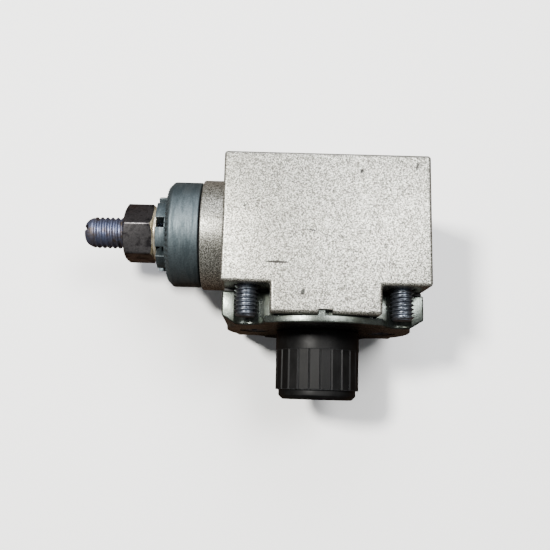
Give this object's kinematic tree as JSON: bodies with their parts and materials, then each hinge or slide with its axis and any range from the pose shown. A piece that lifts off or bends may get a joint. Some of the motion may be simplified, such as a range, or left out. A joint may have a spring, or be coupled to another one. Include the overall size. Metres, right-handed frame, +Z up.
{
  "type": "limit switch",
  "caption": "Rotary operating head of a limit switch: cast housing with a threaded shaft for a lever, captive screws, a bottom plate and a ribbed selector hub round the plunger.",
  "frame": {"origin": "point on the flat back face straight below the crossing of the shaft axis and the plunger axis", "axes": "+X along the shaft away from its threaded end, +Y along the plunger axis away from the selector hub, +Z up out of the back face that the head rests on"},
  "size_m": [0.0623, 0.0413, 0.035],
  "materials": {
    "painted_casting": "fine sandy silver-beige powder coat on a die casting",
    "raw_casting": "raw die cast zinc, satin",
    "zinc_steel": "bright blue zinc plate",
    "zinc_disc": "matte zinc plate",
    "dark_steel": "dark oiled steel",
    "bright_steel": "bright turned steel",
    "spring_steel": "bright spring steel",
    "bronze": "sintered bronze",
    "black_plastic": "moulded black polyamide",
    "natural_plastic": "moulded natural acetal",
    "rubber": "matte nitrile rubber"
  },
  "bodies": {
    "head": {"housing": "painted_casting", "bottom_plate": "raw_casting", "cover_gasket": "rubber", "plate_screw_1": "zinc_steel", "plate_screw_2": "zinc_steel", "captive_screw_1": "zinc_steel", "captive_screw_2": "zinc_steel", "captive_screw_3": "zinc_steel", "captive_screw_4": "zinc_steel", "captive_washer_1": "spring_steel", "captive_washer_2": "spring_steel", "captive_washer_3": "spring_steel", "captive_washer_4": "spring_steel", "shaft_bush": "bronze", "end_bush": "bronze", "shaft_seal": "rubber", "follower_guide": "black_plastic", "wave_washer": "spring_steel", "follower_spring_forward": "spring_steel", "follower_spring_reverse": "spring_steel"},
    "turning_shaft": {"shaft": "zinc_steel", "thrust_washer": "bright_steel", "shaft_circlip": "spring_steel", "cam_clip": "spring_steel", "cam_forward": "dark_steel", "cam_reverse": "dark_steel", "cam_spacer": "bright_steel", "serrated_disc": "zinc_disc", "lever_washer": "zinc_disc", "nut_washer": "bright_steel", "hex_nut": "dark_steel"},
    "forward_slider": {"follower_forward": "natural_plastic"},
    "reverse_slider": {"follower_reverse": "natural_plastic"},
    "selector": {"selector_hub": "black_plastic", "hub_retaining_ring": "spring_steel", "hub_o_ring": "rubber", "plunger_stop_ring": "spring_steel", "plunger_spring": "spring_steel"},
    "push_rod": {"plunger": "natural_plastic"}
  },
  "joints": [
    {"name": "shaft_turn", "type": "hinge", "parent": "head", "child": "turning_shaft", "pos_m": [0, 0, 0.0175], "axis": [1, 0, 0], "range_deg": [-70, 70], "stiffness_Nm_per_rad": 0.05},
    {"name": "forward_slide", "type": "slide", "parent": "head", "child": "forward_slider", "axis": [0, -1, 0], "range_m": [-0.00245, 0.00245], "deforming": ["follower_spring_forward"]},
    {"name": "reverse_slide", "type": "slide", "parent": "head", "child": "reverse_slider", "axis": [0, -1, 0], "range_m": [-0.00245, 0.00245], "deforming": ["follower_spring_reverse"]},
    {"name": "selector_turn", "type": "hinge", "parent": "head", "child": "selector", "pos_m": [0, -0.02, 0.0175], "axis": [0, 1, 0], "range_deg": [-90, 90]},
    {"name": "plunger_slide", "type": "slide", "parent": "selector", "child": "push_rod", "axis": [0, -1, 0], "range_m": [0, 0.0022], "stiffness_N_per_m": 600, "springref_m": -0.003, "deforming": ["plunger_spring"]}
  ],
  "couplings": [
    {"joint": "forward_slide", "follows": "shaft_turn", "m_per_rad": -0.002},
    {"joint": "reverse_slide", "follows": "shaft_turn", "m_per_rad": 0.002}
  ]
}
